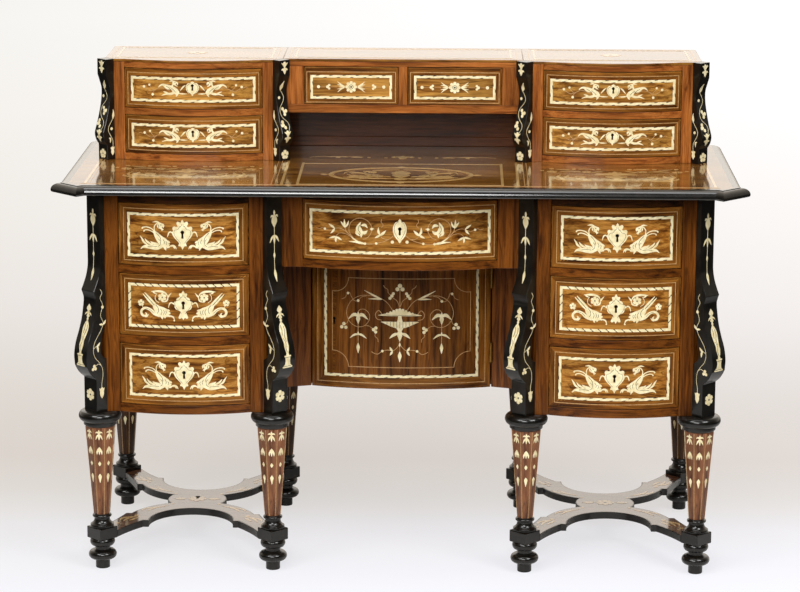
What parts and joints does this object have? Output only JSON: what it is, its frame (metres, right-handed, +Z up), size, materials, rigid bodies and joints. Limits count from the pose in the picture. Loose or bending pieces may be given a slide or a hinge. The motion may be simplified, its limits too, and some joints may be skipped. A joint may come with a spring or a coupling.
{
  "type": "bureau mazarin",
  "caption": "Kneehole writing desk on turned octagonal legs, with bowed drawers, a recessed cupboard and a small raised case of drawers, veneered with floral marquetry.",
  "frame": {"origin": "on the floor, under the middle of the desk's plan", "axes": "+X along the desk to the right of someone who sits at it, -Y towards the sitter, +Z up"},
  "size_m": [1.4182, 0.6034, 1.037],
  "materials": {
    "rosewood": "French polished rosewood veneer with bone and boxwood inlay",
    "ebonised_wood": "ebonised and waxed",
    "carcass_wood": "stained softwood and oak carcass boards",
    "drawer_oak": "planed oak, unfinished",
    "lock_iron": "dull forged iron",
    "brass": "dull brass"
  },
  "bodies": {
    "desk": {"writing_top": "rosewood", "top_edge_moulding": "ebonised_wood", "left_pedestal_carcass": "carcass_wood", "right_pedestal_carcass": "carcass_wood", "pedestal_front_frames": "rosewood", "kneehole_front_frame": "rosewood", "kneehole_carcass": "carcass_wood", "lower_pilasters": "ebonised_wood", "gradin_pilasters": "ebonised_wood", "leg_capitals": "ebonised_wood", "leg_shafts": "rosewood", "leg_blocks": "ebonised_wood", "bun_feet": "ebonised_wood", "left_x_stretcher": "rosewood", "right_x_stretcher": "rosewood", "gradin_side_carcasses": "carcass_wood", "gradin_centre_carcass": "carcass_wood", "gradin_front_frames": "rosewood", "gradin_top_board": "rosewood", "door_frame_leaves": "brass"},
    "left_bottom_drawer": {"left_bottom_drawer_front": "rosewood", "left_bottom_drawer_box": "drawer_oak", "left_bottom_drawer_lock": "lock_iron"},
    "left_middle_drawer": {"left_middle_drawer_front": "rosewood", "left_middle_drawer_box": "drawer_oak", "left_middle_drawer_lock": "lock_iron"},
    "left_top_drawer": {"left_top_drawer_front": "rosewood", "left_top_drawer_box": "drawer_oak", "left_top_drawer_lock": "lock_iron"},
    "right_bottom_drawer": {"right_bottom_drawer_front": "rosewood", "right_bottom_drawer_box": "drawer_oak", "right_bottom_drawer_lock": "lock_iron"},
    "right_middle_drawer": {"right_middle_drawer_front": "rosewood", "right_middle_drawer_box": "drawer_oak", "right_middle_drawer_lock": "lock_iron"},
    "right_top_drawer": {"right_top_drawer_front": "rosewood", "right_top_drawer_box": "drawer_oak", "right_top_drawer_lock": "lock_iron"},
    "centre_drawer": {"centre_drawer_front": "rosewood", "centre_drawer_box": "drawer_oak", "centre_drawer_lock": "lock_iron"},
    "gradin_left_lower_drawer": {"gradin_left_lower_drawer_front": "rosewood", "gradin_left_lower_drawer_box": "drawer_oak", "gradin_left_lower_drawer_lock": "lock_iron"},
    "gradin_left_upper_drawer": {"gradin_left_upper_drawer_front": "rosewood", "gradin_left_upper_drawer_box": "drawer_oak", "gradin_left_upper_drawer_lock": "lock_iron"},
    "gradin_right_lower_drawer": {"gradin_right_lower_drawer_front": "rosewood", "gradin_right_lower_drawer_box": "drawer_oak", "gradin_right_lower_drawer_lock": "lock_iron"},
    "gradin_right_upper_drawer": {"gradin_right_upper_drawer_front": "rosewood", "gradin_right_upper_drawer_box": "drawer_oak", "gradin_right_upper_drawer_lock": "lock_iron"},
    "gradin_centre_left_drawer": {"gradin_centre_left_drawer_front": "rosewood", "gradin_centre_left_drawer_box": "drawer_oak"},
    "gradin_centre_right_drawer": {"gradin_centre_right_drawer_front": "rosewood", "gradin_centre_right_drawer_box": "drawer_oak"},
    "cupboard_door": {"door_panel": "rosewood", "door_leaves": "brass", "door_lock": "lock_iron"}
  },
  "joints": [
    {"name": "left_bottom_drawer_slide", "type": "slide", "parent": "desk", "child": "left_bottom_drawer", "axis": [0, -1, 0], "range_m": [0, 0.3]},
    {"name": "left_middle_drawer_slide", "type": "slide", "parent": "desk", "child": "left_middle_drawer", "axis": [0, -1, 0], "range_m": [0, 0.3]},
    {"name": "left_top_drawer_slide", "type": "slide", "parent": "desk", "child": "left_top_drawer", "axis": [0, -1, 0], "range_m": [0, 0.3]},
    {"name": "right_bottom_drawer_slide", "type": "slide", "parent": "desk", "child": "right_bottom_drawer", "axis": [0, -1, 0], "range_m": [0, 0.3]},
    {"name": "right_middle_drawer_slide", "type": "slide", "parent": "desk", "child": "right_middle_drawer", "axis": [0, -1, 0], "range_m": [0, 0.3]},
    {"name": "right_top_drawer_slide", "type": "slide", "parent": "desk", "child": "right_top_drawer", "axis": [0, -1, 0], "range_m": [0, 0.3]},
    {"name": "centre_drawer_slide", "type": "slide", "parent": "desk", "child": "centre_drawer", "axis": [0, -1, 0], "range_m": [0, 0.28]},
    {"name": "gradin_left_lower_drawer_slide", "type": "slide", "parent": "desk", "child": "gradin_left_lower_drawer", "axis": [0, -1, 0], "range_m": [0, 0.12]},
    {"name": "gradin_left_upper_drawer_slide", "type": "slide", "parent": "desk", "child": "gradin_left_upper_drawer", "axis": [0, -1, 0], "range_m": [0, 0.12]},
    {"name": "gradin_right_lower_drawer_slide", "type": "slide", "parent": "desk", "child": "gradin_right_lower_drawer", "axis": [0, -1, 0], "range_m": [0, 0.12]},
    {"name": "gradin_right_upper_drawer_slide", "type": "slide", "parent": "desk", "child": "gradin_right_upper_drawer", "axis": [0, -1, 0], "range_m": [0, 0.12]},
    {"name": "gradin_centre_left_drawer_slide", "type": "slide", "parent": "desk", "child": "gradin_centre_left_drawer", "axis": [0, -1, 0], "range_m": [0, 0.1]},
    {"name": "gradin_centre_right_drawer_slide", "type": "slide", "parent": "desk", "child": "gradin_centre_right_drawer", "axis": [0, -1, 0], "range_m": [0, 0.1]},
    {"name": "cupboard_door_hinge", "type": "hinge", "parent": "desk", "child": "cupboard_door", "pos_m": [0.1913, 0.00274, 0.491], "axis": [0, 0, 1], "range_deg": [0, 85]}
  ]
}
